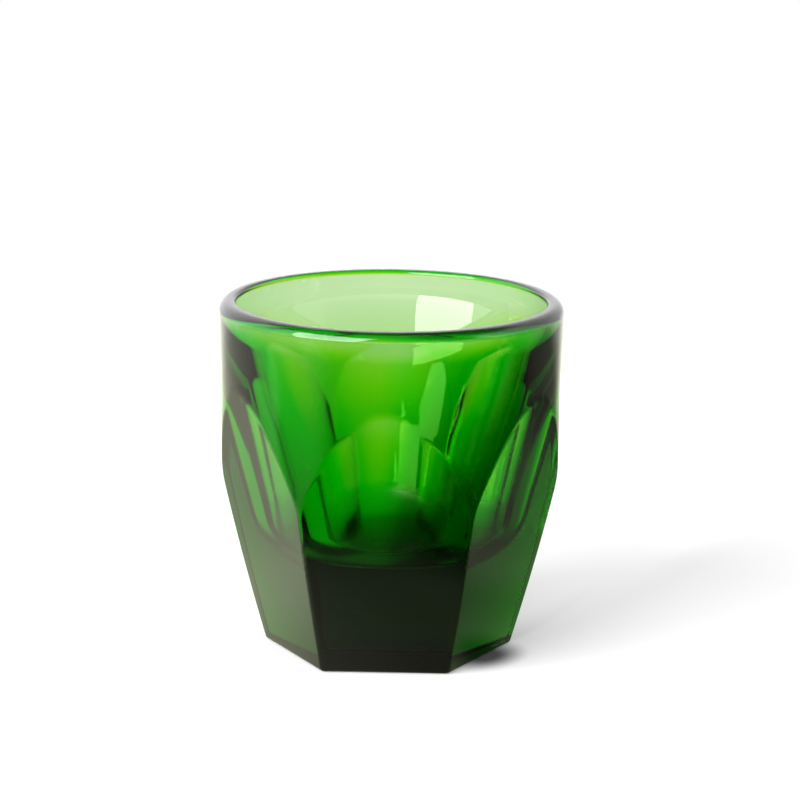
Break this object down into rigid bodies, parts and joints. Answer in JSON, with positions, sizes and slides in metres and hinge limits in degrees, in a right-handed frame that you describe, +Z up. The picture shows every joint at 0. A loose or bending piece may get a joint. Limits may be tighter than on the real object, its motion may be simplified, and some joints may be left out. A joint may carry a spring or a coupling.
{
  "type": "cortado glass",
  "caption": "Short pressed-glass tumbler for a cortado: thick faceted foot, facets that end in arches on a round belt, rounded rim and a tapered round cavity, in clear emerald green.",
  "frame": {"origin": "middle of the flat foot", "axes": "+Z up along the axis of the cavity; the middle of a facet faces -Y"},
  "size_m": [0.074, 0.074, 0.0764],
  "materials": {
    "green_glass": "clear, fire-polished, emerald green"
  },
  "bodies": {
    "root": {"glass_body": "green_glass"}
  },
  "joints": []
}
